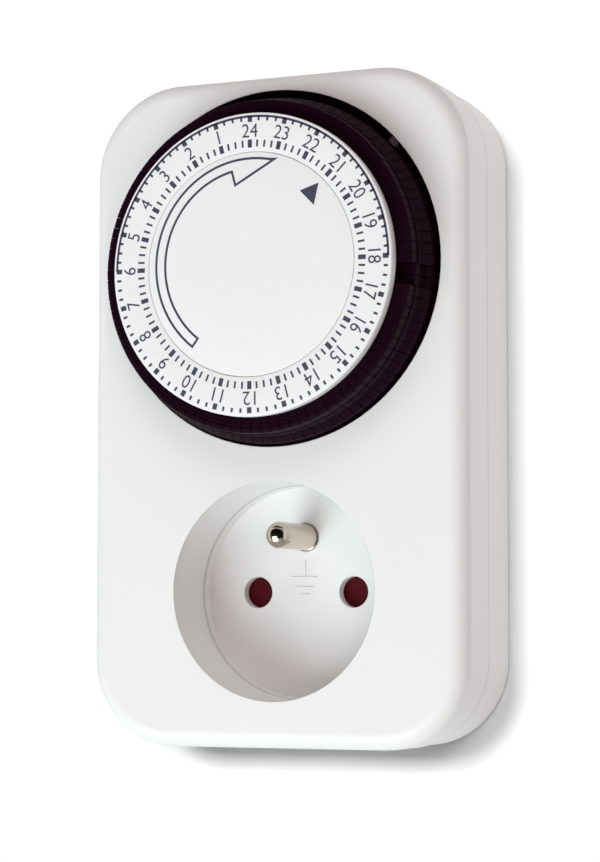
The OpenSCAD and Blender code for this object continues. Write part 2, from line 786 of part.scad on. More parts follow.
module contact_block() {
    pocket_x = clip_inner / 2 + clip_t + pocket_margin;
    pocket_y = clip_w / 2 + pocket_margin;
    color([0.85, 0.85, 0.82]) upright() difference() {
        rod(block_r, block_back_z, block_front_z);
        for (side = [-1, 1]) translate([side * pin_x, 0])
            block([-pocket_x, -pocket_y, clip_base_z - clip_t], [pocket_x, pocket_y, block_front_z + 1]);
        translate([-pin_x, 0]) rod(1.6, block_back_z - 1, clip_base_z + 1);
        translate([0, earth_offset]) rod(shank_r + 0.02, block_back_z - 1, block_front_z + 1);
        translate([0, earth_offset]) rod(sleeve_r + 0.05, block_back_z - 1, back_z - 1);
        block([block_r - 1.6, -2.4, block_back_z - 1], [block_r + 1, 2.4, block_front_z + 1]);
        block([pin_x, -2.1, switched_bar_z - strip_t - 0.2], [block_r + 1, 2.1, block_front_z + 1]);
        rod(shutter_post_r + 0.3, block_front_z - 2, block_front_z + 1);
    }
}

// Spring clip that grips a plug pin between two leaves
module clip() {
    half = clip_inner / 2;
    top = block_front_z - 0.3;
    rotate([90, 0, 0]) linear_extrude(clip_w, center = true) polygon([
        [-half - clip_t, clip_base_z - clip_t], [half + clip_t, clip_base_z - clip_t],
        [half + clip_t, top], [half + clip_t - 0.1, top], [half, top - 1.5],
        [half, clip_base_z], [-half, clip_base_z], [-half, top - 1.5],
        [-half - clip_t + 0.1, top], [-half - clip_t, top]]);
}

module live_clip() {
    color([0.8, 0.6, 0.3]) upright() translate([pin_x, 0]) clip();
}

module neutral_clip() {
    color([0.8, 0.6, 0.3]) upright() translate([-pin_x, 0]) clip();
}

// Sprung shutter with one blade behind each pin hole
module shutter() {
    color([0.5, 0.08, 0.1]) upright() difference() {
        slab(shutter_z - shutter_t, shutter_z) {
            for (side = [-1, 1]) translate([side * pin_x, 0]) circle(r = shutter_blade_r);
            translate([-pin_x, -2.5]) square([pin_spacing, 5]);
            circle(r = shutter_post_r + 2.2);
        }
        rod(shutter_post_r + running_fit, shutter_z - shutter_t - 1, shutter_z + 1);
        for (turn = [0, 180]) rotate([0, 0, turn]) translate([pin_x, -shutter_blade_r, shutter_z])
            rotate([35, 0, 0]) block([-5, -2, -0.2], [5, 1.4, 3]);
    }
}

// Torsion spring on the shutter's post: one turn and two legs
module shutter_spring() {
    z = shutter_z - shutter_t - spring_wire / 2 - 0.1;
    color("silver") upright() {
        translate([0, 0, z]) rotate_extrude(angle = 330)
            translate([spring_r, 0]) circle(d = spring_wire, $fn = 24);
        translate([spring_r, 0, z]) rotate([90, 0, 0]) cylinder(h = 6, d = spring_wire);
    }
}

module earth_pin() {
    tip_z = recess_floor_z + earth_pin_len;
    color([0.75, 0.72, 0.68]) upright() translate([0, earth_offset]) {
        rod(shank_r, back_z - 0.5, recess_floor_z + collar_t);
        rod(pin_r, recess_floor_z + collar_t, tip_z - pin_r);
        translate([0, 0, tip_z - pin_r]) sphere(r = pin_r);
    }
}

// Sleeve that receives a wall socket's earth pin
module earth_sleeve() {
    color([0.8, 0.6, 0.3]) upright() translate([0, earth_offset]) difference() {
        rod(sleeve_r, plug_inner_z + 0.1, back_z - 1.1);
        rod(pin_r + 0.05, plug_inner_z - 1, back_z - 2.5);
    }
}

// Strap inside the plug body that joins the clips, the sleeve and the pin
module earth_strap() {
    color([0.8, 0.6, 0.3]) upright() slab(tab_z, tab_z + strip_t) difference() {
        union() {
            translate([-2.5, 1 - plug_bore_r]) square([5, 2 * plug_bore_r - 2]);
            translate([0, earth_offset]) circle(r = sleeve_r + 1.4);
        }
        translate([0, earth_offset]) circle(r = sleeve_r + 0.02);
    }
}

// Two bowed clips in the plug body's grooves
module earth_clips() {
    color([0.8, 0.78, 0.72]) upright() for (side = [-1, 1]) rotate([0, 0, side * 90]) {
        inner = plug_r - groove_depth + 0.1;
        rotate([90, 0, 0]) linear_extrude(5, center = true) polygon([
            [inner, plug_face_z + 1.2], [inner + 0.6, plug_face_z + 1.2],
            [inner + 1.3, plug_face_z + 4], [inner + 1.3, back_z - 5],
            [inner + 0.6, back_z - 1.2], [inner, back_z - 1.2]]);
        block([plug_bore_r - 1, -2.5, tab_z], [inner + 0.3, 2.5, tab_z + strip_t]);
    }
}

// Pin with a head inside the end wall
module plug_pin() {
    tip = 1.2;
    rotate_extrude() polygon([
        [0, plug_inner_z + head_t], [head_r, plug_inner_z + head_t], [head_r, plug_inner_z],
        [shank_r, plug_inner_z], [shank_r, plug_face_z - collar_t],
        [pin_r, plug_face_z - collar_t], [pin_r, plug_face_z - plug_pin_len + tip],
        [pin_r - 0.35, plug_face_z - plug_pin_len + 0.35],
        [pin_r - tip, plug_face_z - plug_pin_len], [0, plug_face_z - plug_pin_len]]);
}

module live_plug_pin() {
    color([0.78, 0.76, 0.72]) upright() translate([pin_x, 0]) plug_pin();
}

module neutral_plug_pin() {
    color([0.78, 0.76, 0.72]) upright() translate([-pin_x, 0]) {
        plug_pin();
        rod(1.5, plug_inner_z + head_t - 0.1, clip_base_z - clip_t);
    }
}

// ---- nodes ------------------------------------------------------------------

front_shell();
rear_shell();
case_screws();
well_liner();
centre_disc();
number_ring();
tappet_carrier();
ring_gear();
clutch_washer();
reduction_gear();
reduction_arbor();
movement_plate();
plate_screws();
motor();
motor_pinion();
switch_lever();
lever_pin();
switch_block();
contact_leaf();
fixed_contact();
live_busbar();
switched_busbar();
contact_block();
live_clip();
neutral_clip();
shutter();
shutter_spring();
earth_pin();
earth_sleeve();
earth_strap();
earth_clips();
live_plug_pin();
neutral_plug_pin();
for (hour = [0 : group_count - 1])
    tappets(hour, hour == pressed_hour ? raised_slots : [0 : group_size - 1], 0);
tappets(pressed_hour, pressed_slots, tappet_travel);  // tappets_17_pressed
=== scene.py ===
"""Plug-in timer switch: its visible surfaces, print, finishes and studio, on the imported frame.

Shapes are worked out in front-view millimetres: x to the right, y up the face, z out of
the front face, with the socket's axis at x = y = 0. stand() turns them into the frame.
"""
import math

import bmesh
import bpy
import numpy as np
from bpy.props import FloatProperty, FloatVectorProperty, IntProperty, PointerProperty
from mathutils import Matrix, Vector


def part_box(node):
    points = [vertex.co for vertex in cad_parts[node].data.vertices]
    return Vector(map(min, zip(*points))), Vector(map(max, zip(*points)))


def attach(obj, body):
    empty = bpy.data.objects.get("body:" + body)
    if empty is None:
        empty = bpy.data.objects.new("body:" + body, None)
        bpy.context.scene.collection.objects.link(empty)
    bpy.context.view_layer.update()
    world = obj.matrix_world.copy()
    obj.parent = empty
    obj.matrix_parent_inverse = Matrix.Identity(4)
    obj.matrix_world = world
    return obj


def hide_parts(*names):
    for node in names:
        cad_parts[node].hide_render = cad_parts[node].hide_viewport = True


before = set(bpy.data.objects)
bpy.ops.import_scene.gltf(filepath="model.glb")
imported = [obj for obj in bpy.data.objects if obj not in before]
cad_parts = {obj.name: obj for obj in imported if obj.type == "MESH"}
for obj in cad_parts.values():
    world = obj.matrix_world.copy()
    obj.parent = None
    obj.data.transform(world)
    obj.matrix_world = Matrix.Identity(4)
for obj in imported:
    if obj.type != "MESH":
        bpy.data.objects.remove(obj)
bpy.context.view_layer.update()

bl_info = {
    "name": "Plug-in timer switch",
    "version": (1, 0, 0),
    "blender": (4, 5, 0),
    "location": "3D Viewport > Sidebar > Timer switch",
    "description": "Shells, dial, tappets, print, finishes and studio of a plug-in timer switch",
    "category": "Object",
}

# ---- places that the frame gives ---------------------------------------------

MM = 1000  # millimetres in a metre
FRONT_FACE = -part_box("front_shell")[0].y * MM
SEAM_DEPTH = 12.0  # of the shells' joint behind the front face
SEAM_PLACE = (SEAM_DEPTH - FRONT_FACE) / MM  # on the frame's y axis, in metres
DIAL_LOW, DIAL_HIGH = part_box("number_ring")
DIAL_AXIS = (DIAL_LOW.z + DIAL_HIGH.z) / 2 * MM
DIAL_FACE = -DIAL_LOW.y * MM - FRONT_FACE
RING_RADIUS = (DIAL_HIGH.z - DIAL_LOW.z) / 2
ON_DIAL = (0, DIAL_AXIS, 0)
HOURS = 24
QUARTERS = 4
TAPPETS = HOURS * QUARTERS
TAPPET_PITCH = 2 * math.pi / TAPPETS
MIDNIGHT = math.pi / 2  # angle of the number 24, from which the hours run anticlockwise


def tone(red, green, blue):
    """Linear colour of a screen colour with 0 to 255 per channel, by the usual screen curve."""
    part = np.array([red, green, blue]) / 255
    linear = np.where(part <= 0.04045, part / 12.92, ((part + 0.055) / 1.055) ** 2.4)
    return tuple(float(v) for v in linear)


def length(name, text, value, low=0.0, high=0.2):
    """A size in metres that the user can change."""
    return FloatProperty(name=name, description=text, default=value, min=low, max=high,
                         precision=5, subtype="DISTANCE", unit="LENGTH")


def colour(name, text, value):
    """A colour that the user can change."""
    return FloatVectorProperty(name=name, description=text, default=value, size=3, min=0, max=1,
                               subtype="COLOR")


class TimerSizes(bpy.types.PropertyGroup):
    """Sizes of the visible pieces."""
    ring_radius: length("Number ring radius", "Outer radius of the number ring", RING_RADIUS)
    ring_bore: length("Number ring bore", "Inner radius of the number ring's face", 0.01990)
    ring_edge: length("Number ring edge", "Radius of the ring's soft outer edge", 0.00028)
    disc_radius: length("Centre disc radius", "Radius of the fixed centre disc", 0.01980)
    tappet_top: length("Tappet height", "Height of the tappets above the front face", 0.00735)
    tappet_edge: length("Tappet edge radius", "Radius of the tappets' upper front edge", 0.0296)
    tappet_foot: length("Tappet foot radius", "Radius of the tappets' foot", 0.0310)
    tappet_groove: length("Tappet groove depth", "Depth of a tappet's grip grooves", 0.00015)
    tappet_play: length("Tappet play", "How far a tappet may stand below the others", 0.00007)
    tappet_gap: FloatProperty(name="Tappet gap", description="Angle left open between tappets",
                              default=math.radians(0.07), min=0.0005, max=0.02, subtype="ANGLE")
    pressed_by: length("Pressed travel", "How far a pressed tappet stands behind", 0.0021)
    print_height: length("Print height", "Thickness of the printed ink", 0.000025)
    numeral_height: length("Numeral height", "Height of the hour numbers", 0.0024)
    numeral_radius: length("Numeral radius", "Distance of the numbers from the axis", 0.02366)
    line_width: length("Line width", "Width of the arrow's printed line", 0.00042)
    pin_radius: length("Pin radius", "Radius of the earth pin", 0.0024)
    symbol_height: length("Earth symbol height", "Height of the raised symbol", 0.00018)
    liner_wall: length("Liner wall", "Thickness of the dark ring in the well", 0.00025)
    seam_gap: length("Seam gap", "Width of the fine joint between the two shells", 0.00012)
    steps: IntProperty(name="Steps round a circle", description="Faces round the dial's pieces",
                       default=192, min=48, max=384)


class TimerColours(bpy.types.PropertyGroup):
    """Colours of the finishes."""
    housing: colour("Housing", "Moulded shells", tone(234, 235, 234))
    dial: colour("Dial", "Number ring and centre disc", tone(237, 239, 239))
    tappet: colour("Tappets", "Black moulded tappets", tone(26, 5, 18))
    ink: colour("Ink", "Print of the dial", tone(66, 66, 88))
    nickel: colour("Nickel", "Plated pins and clips", tone(214, 200, 186))
    brass: colour("Brass", "Contact parts", tone(205, 168, 96))
    steel: colour("Steel", "Screws, plates and springs", tone(186, 188, 190))
    shutter: colour("Shutter", "Child safety shutter", tone(80, 8, 20))
    pointer: colour("Time pointer", "Small mark on the well's rim", tone(84, 64, 72))
    gear: colour("Gears", "Wheels of the movement", tone(222, 216, 196))
    insulator: colour("Insulator", "Insulating inner parts", tone(206, 202, 190))


# ---- shapes ------------------------------------------------------------------

CREASE = 32.0  # degrees; sharper edges stay sharp in shading
SHRUNK = 2e-6  # metres; points closer than this are one


def stand(points):
    """Front-view millimetres to the frame's metres: (x, y, z) becomes (x, -z - front, y) over a
    thousand."""
    points = np.asarray(points, float)
    return np.stack([points[..., 0], -points[..., 2] - FRONT_FACE, points[..., 1]], -1) / MM


def sheet(rows, columns, wrap_rows=False, wrap_columns=False):
    """Four-cornered faces of a grid whose points are numbered row by row."""
    row = np.arange(rows if wrap_rows else rows - 1)[:, None]
    column = np.arange(columns if wrap_columns else columns - 1)[None, :]
    below, right = (row + 1) % rows, (column + 1) % columns
    corners = [row * columns + column, row * columns + right,
               below * columns + right, below * columns + column]
    return np.stack(np.broadcast_arrays(*corners), -1).reshape(-1, 4)


def turned(profile, steps, closed=False):
    """A profile of (radius, height) carried round the z axis: x = r cos a, y = r sin a, z = height.
    A closed profile is a loop, an open one starts and ends on the axis."""
    profile = np.asarray(profile, float)
    angle = np.linspace(0, 2 * math.pi, steps, endpoint=False)
    points = np.stack([profile[:, :1] * np.cos(angle), profile[:, :1] * np.sin(angle),
                       np.repeat(profile[:, 1:], steps, 1)], -1)
    return points.reshape(-1, 3), sheet(len(profile), steps, closed, True)


def loop_normals(loop, sharpest=0.6):
    """Outward directions at the corners of a closed flat loop: the two neighbouring edges' normals
    are added and scaled so that both edges move by the same distance, with sharp corners held
    back."""
    edge = np.roll(loop, -1, 0) - loop
    edge /= np.maximum(np.linalg.norm(edge, axis=1, keepdims=True), 1e-9)
    normal = np.stack([edge[:, 1], -edge[:, 0]], -1)
    both = normal + np.roll(normal, 1, 0)
    reach = np.maximum(np.linalg.norm(both, axis=1, keepdims=True) / 2, sharpest)
    area = np.sum(loop[:, 0] * np.roll(loop[:, 1], -1) - loop[:, 1] * np.roll(loop[:, 0], -1))
    return np.sign(area) * both / 2 / reach ** 2


def at_height(loops, height):
    """Flat outlines with a height added to each corner."""
    return np.concatenate([loops, np.full((*loops.shape[:-1], 1), height)], -1)


def slab(loops, low, high):
    """Upright walls and flat ends of outlines that all have the same number of corners: each
    outline is carried from the lower to the upper height, and both ends get one face each."""
    loops = np.asarray(loops, float)
    count, corners = loops.shape[:2]
    points = np.concatenate([at_height(loops, z) for z in (low, high)], 1)
    walls = sheet(2, corners, False, True)
    start = np.arange(count)[:, None, None] * 2 * corners
    ends = np.stack([np.arange(corners)[::-1], np.arange(corners) + corners])
    return (points.reshape(-1, 3), (walls + start).reshape(-1, 4),
            (ends + start).reshape(-1, corners))


def arc(radius, start, end, steps):
    """Points of a flat arc: radius times cosine and sine of angles between start and end."""
    angle = np.linspace(start, end, steps)
    return np.stack([radius * np.cos(angle), radius * np.sin(angle)], -1)


def placed(loops, angle, radius=0.0):
    """Outlines turned by an angle after they are moved out along the x axis."""
    loops = np.asarray(loops, float) + [radius, 0]
    c, s = np.cos(angle), np.sin(angle)
    return np.stack([loops[..., 0] * c - loops[..., 1] * s,
                     loops[..., 0] * s + loops[..., 1] * c], -1)


def polar_boxes(angles, inner, outer, width):
    """One upright rectangle of a given width at each angle, between two radii."""
    half = width / 2
    corner = np.array([[inner, -half], [outer, -half], [outer, half], [inner, half]])
    return placed(corner[None], np.asarray(angles)[:, None])


def join(parts):
    """Several (points, faces, ...) shapes as one list of points and one list of face arrays."""
    points, faces, start = [], [], 0
    for part in parts:
        points.append(part[0])
        faces += [face + start for face in part[1:]]
        start += len(part[0])
    return np.concatenate(points), faces


def coordinates(mesh):
    """The points of a mesh, one in each row."""
    points = np.empty(len(mesh.vertices) * 3)
    mesh.vertices.foreach_get("co", points)
    return points.reshape(-1, 3)


def build(name, parts, body, material, replaces=(), crease=CREASE, lift=(0, 0, 0)):
    """Makes one piece of several shapes: equal points are merged, faces that shrink to a line are
    dropped, and normals are turned outwards."""
    points, faces = join(parts)
    points = np.round(points, 5)
    merged, place = np.unique(points, axis=0, return_inverse=True)
    place = place.reshape(-1)
    rows = []
    for group in faces:
        group = place[group]
        if group.shape[1] == 4:
            same = group == np.roll(group, -1, 1)
            rows += group[~same.any(1)].tolist()
            for side in range(4):
                pick = same[:, side] & (same.sum(1) == 1)
                rows += np.delete(group[pick], side, 1).tolist()
        else:
            rows += group.tolist()
    mesh = bpy.data.meshes.new(name)
    mesh.from_pydata(stand(merged + np.asarray(lift)).tolist(), [], rows)
    mesh.validate()
    work = bmesh.new()
    work.from_mesh(mesh)
    bmesh.ops.recalc_face_normals(work, faces=work.faces)
    work.to_mesh(mesh)
    work.free()
    return finish_piece(name, mesh, body, material, replaces, crease)


def finish_piece(name, mesh, body, material, replaces, crease):
    """Shades smooth between edges sharper than the crease and puts the piece on its body."""
    mesh.polygons.foreach_set("use_smooth", np.ones(len(mesh.polygons), bool))
    mesh.set_sharp_from_angle(angle=math.radians(crease))
    mesh.materials.clear()
    mesh.materials.append(material)
    piece = bpy.data.objects.new(name, mesh)
    bpy.context.scene.collection.objects.link(piece)
    if replaces:
        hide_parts(*replaces)
    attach(piece, body)
    return piece


def dressed(node, name, body, node_slot):
    """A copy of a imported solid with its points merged, smooth faces between sharp edges and normals
    weighted by face size, which then stands for that solid."""
    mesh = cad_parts[node].data.copy()
    work = bmesh.new()
    work.from_mesh(mesh)
    bmesh.ops.remove_doubles(work, verts=work.verts, dist=SHRUNK)
    bmesh.ops.dissolve_degenerate(work, edges=work.edges, dist=SHRUNK / 2)
    work.to_mesh(mesh)
    work.free()
    if mesh.has_custom_normals:
        mesh.attributes.remove(mesh.attributes["custom_normal"])
    piece = finish_piece(name, mesh, body, finish_for(node_slot), (node,), CREASE)
    weighted = piece.modifiers.new("Even shading", "WEIGHTED_NORMAL")
    weighted.keep_sharp = True
    weighted.weight = 100
    return piece


# ---- shared effects ----------------------------------------------------------

FLOAT, COLOUR, VECTOR = "NodeSocketFloat", "NodeSocketColor", "NodeSocketVector"
GROUPS = {}


def new_group(name, inputs, outputs):
    """An empty node group with named sockets, with its input node and its output node."""
    group = bpy.data.node_groups.new(name, "ShaderNodeTree")
    for label, kind, value in inputs:
        socket = group.interface.new_socket(name=label, in_out="INPUT", socket_type=kind)
        socket.default_value = value
    for label, kind in outputs:
        group.interface.new_socket(name=label, in_out="OUTPUT", socket_type=kind)
    return group, group.nodes.new("NodeGroupInput"), group.nodes.new("NodeGroupOutput")


def node(tree, kind, **settings):
    """A new node with some of its settings."""
    made = tree.nodes.new(kind)
    for key, value in settings.items():
        setattr(made, key, value)
    return made


def feed(tree, value, socket):
    """Gives a socket a link from another socket, or else a value of its own."""
    if isinstance(value, bpy.types.NodeSocket):
        tree.links.new(value, socket)
    else:
        socket.default_value = value


def math_node(tree, operation, first, second=None, clamp=False):
    """A maths node whose two values are numbers or sockets; returns its result."""
    made = node(tree, "ShaderNodeMath", operation=operation, use_clamp=clamp)
    feed(tree, first, made.inputs[0])
    if second is not None:
        feed(tree, second, made.inputs[1])
    return made.outputs[0]


def noise(tree, scale, detail, rough=0.5, vector=None):
    """A noise pattern, on the piece's own coordinates if no others are given."""
    made = node(tree, "ShaderNodeTexNoise")
    feed(tree, scale, made.inputs["Scale"])
    feed(tree, detail, made.inputs["Detail"])
    feed(tree, rough, made.inputs["Roughness"])
    if vector is None:
        vector = node(tree, "ShaderNodeTexCoord").outputs["Object"]
    feed(tree, vector, made.inputs["Vector"])
    return made.outputs["Fac"]


def blend(tree, first, first_share, second, second_share):
    """The sum of two values, each times its share."""
    return math_node(tree, "ADD", math_node(tree, "MULTIPLY", first, first_share),
                     math_node(tree, "MULTIPLY", second, second_share))


def tone_drift_group():
    """Slow change of a colour's brightness over the surface: the colour times one plus the amount
    times a noise between minus one and one."""
    group, given, result = new_group("Tone drift", [
        ("Color", COLOUR, (0.8, 0.8, 0.8, 1)), ("Scale", FLOAT, 30.0), ("Amount", FLOAT, 0.03)],
        [("Color", COLOUR)])
    cloud = noise(group, given.outputs["Scale"], 3)
    swing = math_node(group, "MULTIPLY", math_node(group, "SUBTRACT", cloud, 0.5), 2.0)
    change = math_node(group, "MULTIPLY", swing, given.outputs["Amount"])
    shade = node(group, "ShaderNodeHueSaturation")
    feed(group, math_node(group, "ADD", change, 1.0), shade.inputs["Value"])
    feed(group, given.outputs["Color"], shade.inputs["Color"])
    feed(group, shade.outputs["Color"], result.inputs["Color"])
    return group


def moulded_grain_group():
    """Height of a moulded surface: fine spark-eroded grain plus a cooled wall's slow ripple."""
    group, given, result = new_group("Moulded grain", [
        ("Grain scale", FLOAT, 5000.0), ("Grain", FLOAT, 1.0), ("Ripple scale", FLOAT, 60.0),
        ("Ripple", FLOAT, 1.0)], [("Height", FLOAT), ("Mottle", FLOAT)])
    fine = noise(group, given.outputs["Grain scale"], 2, 0.6)
    slow = noise(group, given.outputs["Ripple scale"], 2, 0.4)
    feed(group, blend(group, fine, given.outputs["Grain"], slow, given.outputs["Ripple"]),
         result.inputs["Height"])
    feed(group, blend(group, fine, 0.4, slow, 0.6), result.inputs["Mottle"])
    return group


def joint_dust_group():
    """Painted shade in the joint of the shells, a darkening where the groove's shade falls: one at a
    place on the piece's y axis, and nothing a reach away."""
    group, given, result = new_group(
        "Joint dust", [("Place", FLOAT, 0.0), ("Reach", FLOAT, 0.00035)], [("Dust", FLOAT)])
    split = node(group, "ShaderNodeSeparateXYZ")
    feed(group, node(group, "ShaderNodeTexCoord").outputs["Object"], split.inputs[0])
    side = math_node(group, "SUBTRACT", split.outputs["Y"], given.outputs["Place"])
    share = math_node(group, "DIVIDE", math_node(group, "ABSOLUTE", side), given.outputs["Reach"])
    feed(group, math_node(group, "SUBTRACT", 1.0, share, True), result.inputs["Dust"])
    return group


def soft_edge_group(label, radius):
    """Rounded normals at edges, and a mask that is one where an edge is rubbed: the mask grows with
    the angle between the rounded and the real normal, broken up by noise."""
    group, given, result = new_group(label, [("Wear", FLOAT, 1.0)],
                                     [("Normal", VECTOR), ("Worn", FLOAT)])
    round_off = node(group, "ShaderNodeBevel", samples=4)
    round_off.inputs["Radius"].default_value = radius
    align = node(group, "ShaderNodeVectorMath", operation="DOT_PRODUCT")
    feed(group, round_off.outputs["Normal"], align.inputs[0])
    feed(group, node(group, "ShaderNodeNewGeometry").outputs["Normal"], align.inputs[1])
    away = math_node(group, "SUBTRACT", 1.0, align.outputs["Value"])
    strong = math_node(group, "MULTIPLY", away, 3.0, True)
    patch = math_node(group, "MULTIPLY", noise(group, 420.0, 3), 1.3)
    patchy = math_node(group, "MULTIPLY", strong, patch)
    feed(group, math_node(group, "MULTIPLY", patchy, given.outputs["Wear"], True),
         result.inputs["Worn"])
    feed(group, round_off.outputs["Normal"], result.inputs["Normal"])
    return group


def turned_marks_group():
    """Fine rings round a turned pin along the y axis: a noise that is squeezed along that axis."""
    group, given, result = new_group("Turned marks", [("Fineness", FLOAT, 1.0)],
                                     [("Height", FLOAT), ("Streak", FLOAT)])
    squeeze = node(group, "ShaderNodeMapping")
    squeeze.inputs["Scale"].default_value = (60, 9000, 60)
    feed(group, node(group, "ShaderNodeTexCoord").outputs["Object"], squeeze.inputs["Vector"])
    rings = noise(group, 1.0, 3, 0.6, squeeze.outputs["Vector"])
    patch = noise(group, 350.0, 3, 0.6)
    feed(group, math_node(group, "MULTIPLY", rings, given.outputs["Fineness"]),
         result.inputs["Height"])
    feed(group, blend(group, rings, 0.5, patch, 0.5), result.inputs["Streak"])
    return group


def shared_groups():
    """Builds the shared effects once."""
    if not GROUPS:
        GROUPS.update(drift=tone_drift_group(), grain=moulded_grain_group(),
                      joint=joint_dust_group(), turned=turned_marks_group(),
                      edge=soft_edge_group("Soft edge", 0.00022),
                      fine_edge=soft_edge_group("Fine edge", 0.00008))
    return GROUPS


def blank(name):
    """A material of that name with only a Principled BSDF and an output; a packed one is used
    again."""
    made = bpy.data.materials.get(name) or bpy.data.materials.new(name)
    made.use_nodes = True
    tree = made.node_tree
    tree.nodes.clear()
    shader = tree.nodes.new("ShaderNodeBsdfPrincipled")
    output = tree.nodes.new("ShaderNodeOutputMaterial")
    tree.links.new(shader.outputs["BSDF"], output.inputs["Surface"])
    return made, tree, shader


def placed_group(tree, effect, **values):
    """A shared effect in a material, with its own values."""
    made = node(tree, "ShaderNodeGroup", node_tree=shared_groups()[effect])
    for key, value in values.items():
        made.inputs[key.replace("_", " ")].default_value = value
    return made


def ranged(tree, value, low, high):
    """A value between zero and one spread between two others."""
    made = node(tree, "ShaderNodeMapRange")
    made.inputs["To Min"].default_value = low
    made.inputs["To Max"].default_value = high
    feed(tree, value, made.inputs["Value"])
    return made.outputs["Result"]


def mixed(tree, factor, first, second):
    """Two colours mixed by a factor; the second is a colour value."""
    made = node(tree, "ShaderNodeMix", data_type="RGBA")
    feed(tree, factor, made.inputs["Factor"])
    feed(tree, first, made.inputs[6])
    made.inputs[7].default_value = (*second, 1)
    return made.outputs[2]


def bumped(tree, shader, height, edges, strength):
    """Gives the shader a bump of a height in millimetres, on the rounded normals of the edges."""
    bump = node(tree, "ShaderNodeBump")
    bump.inputs["Strength"].default_value = strength
    bump.inputs["Distance"].default_value = 1 / MM
    feed(tree, height, bump.inputs["Height"])
    feed(tree, edges.outputs["Normal"], bump.inputs["Normal"])
    feed(tree, bump.outputs["Normal"], shader.inputs["Normal"])


# ---- finishes ----------------------------------------------------------------

# how finely the patterns repeat, on coordinates in metres
DRIFT_SCALE, METAL_DRIFT_SCALE = 38.0, 180.0
GRAIN_SCALE, RIPPLE_SCALE = 5200.0, 70.0
RIPPLE_HEIGHT = 0.03  # millimetres
# JOINT_REACH is how far the painted shade along the shells' joint reaches
JOINT_REACH = 0.0007  # metres
TARNISH_SHARE = 0.35


def moulded(name, base, rough, shade=1.0, grain=0.002, drift=0.02, worn=None,
            lighter=(1.08, 0.015), wear=0.5, edge="fine_edge", specular=0.5, joint=0.0):
    """Moulded plastic: slow tone drift, fine grain in millimetres, and soft edges rubbed to the
    worn colour, or else to the base times and plus the two lighter values."""
    base = tuple(channel * shade for channel in base)
    made, tree, shader = blank(name)
    tint = placed_group(tree, "drift", Color=(*base, 1), Scale=DRIFT_SCALE, Amount=drift)
    surface = placed_group(tree, "grain", Grain_scale=GRAIN_SCALE, Ripple_scale=RIPPLE_SCALE,
                           Grain=grain, Ripple=RIPPLE_HEIGHT)
    edges = placed_group(tree, edge, Wear=wear)
    bumped(tree, shader, surface.outputs["Height"], edges, 0.6)
    factor, plus = lighter
    rubbed = worn or tuple(min(1.0, channel * factor + plus) for channel in base)
    shown = mixed(tree, edges.outputs["Worn"], tint.outputs["Color"], rubbed)
    # painted shade: the colour is darkened towards the shells' joint by the joint share
    if joint:
        painted_shade = placed_group(tree, "joint", Place=SEAM_PLACE, Reach=JOINT_REACH)
        shaded_colour = tuple(channel * (1 - joint) for channel in base)
        shown = mixed(tree, painted_shade.outputs["Dust"], shown, shaded_colour)
    feed(tree, shown, shader.inputs["Base Color"])
    feed(tree, ranged(tree, surface.outputs["Mottle"], *rough), shader.inputs["Roughness"])
    shader.inputs["Specular IOR Level"].default_value = specular
    return made


def metal(name, base, rough, tarnish, fineness=0.004):
    """Bare or plated metal: fine turned rings, patchy gloss and a faint tarnish in the patches."""
    made, tree, shader = blank(name)
    tint = placed_group(tree, "drift", Color=(*base, 1), Scale=METAL_DRIFT_SCALE, Amount=0.05)
    marks = placed_group(tree, "turned", Fineness=fineness)
    edges = placed_group(tree, "fine_edge", Wear=0.6)
    bumped(tree, shader, marks.outputs["Height"], edges, 0.5)
    patches = math_node(tree, "MULTIPLY", marks.outputs["Streak"], TARNISH_SHARE)
    feed(tree, mixed(tree, patches, tint.outputs["Color"], tarnish), shader.inputs["Base Color"])
    feed(tree, ranged(tree, marks.outputs["Streak"], *rough), shader.inputs["Roughness"])
    shader.inputs["Metallic"].default_value = 1.0
    return made


# for each material: how it is made, its colour, its range of roughness and what else it is given
RECIPES = {
    # the housing's joint value is painted shade along the seam between the shells
    "housing_plastic": (moulded, "housing", (0.4, 0.52),
                        dict(drift=0.008, joint=0.35, edge="edge")),
    "dial_plastic": (moulded, "dial", (0.34, 0.44), dict(grain=0.001, drift=0.006, wear=0.3)),
    "dial_ink": (moulded, "ink", (0.42, 0.55),
                 dict(grain=0.001, drift=0.18, lighter=(1.6, 0.0), wear=0.4)),
    "tappet_plastic": (moulded, "tappet", (0.36, 0.5),
                       dict(grain=0.003, drift=0.12, worn=tone(40, 22, 32), specular=0.05)),
    "carrier_plastic": (moulded, "tappet", (0.45, 0.6),
                        dict(drift=0.1, worn=tone(30, 14, 22), wear=0.2, specular=0.05)),
    "liner_plastic": (moulded, "tappet", (0.5, 0.65),
                      dict(shade=1.2, drift=0.1, wear=0.0, specular=0.05)),
    "pointer_plastic": (moulded, "pointer", (0.4, 0.55), dict(drift=0.08)),
    "gear_plastic": (moulded, "gear", (0.32, 0.45), dict(drift=0.04)),
    "shutter_plastic": (moulded, "shutter", (0.34, 0.48), dict(drift=0.14, specular=0.15)),
    "insulator_plastic": (moulded, "insulator", (0.45, 0.6), dict(drift=0.05, edge="edge")),
    "contact_brass": (metal, "brass", (0.22, 0.4), dict(tarnish=tone(150, 112, 62))),
    "pin_nickel": (metal, "nickel", (0.1, 0.24), dict(tarnish=tone(176, 158, 140), fineness=0.002)),
    "zinc_steel": (metal, "steel", (0.25, 0.45), dict(tarnish=tone(140, 140, 138))),
}
FINISHES = {}


def finish_for(material):
    """One finish, made once from the user's colours."""
    if material not in FINISHES:
        maker, pick, rough, more = RECIPES[material]
        base = tuple(getattr(bpy.context.scene.timer_colours, pick))
        FINISHES[material] = maker(material, base, rough, **more)
    return FINISHES[material]


# ---- pieces ------------------------------------------------------------------

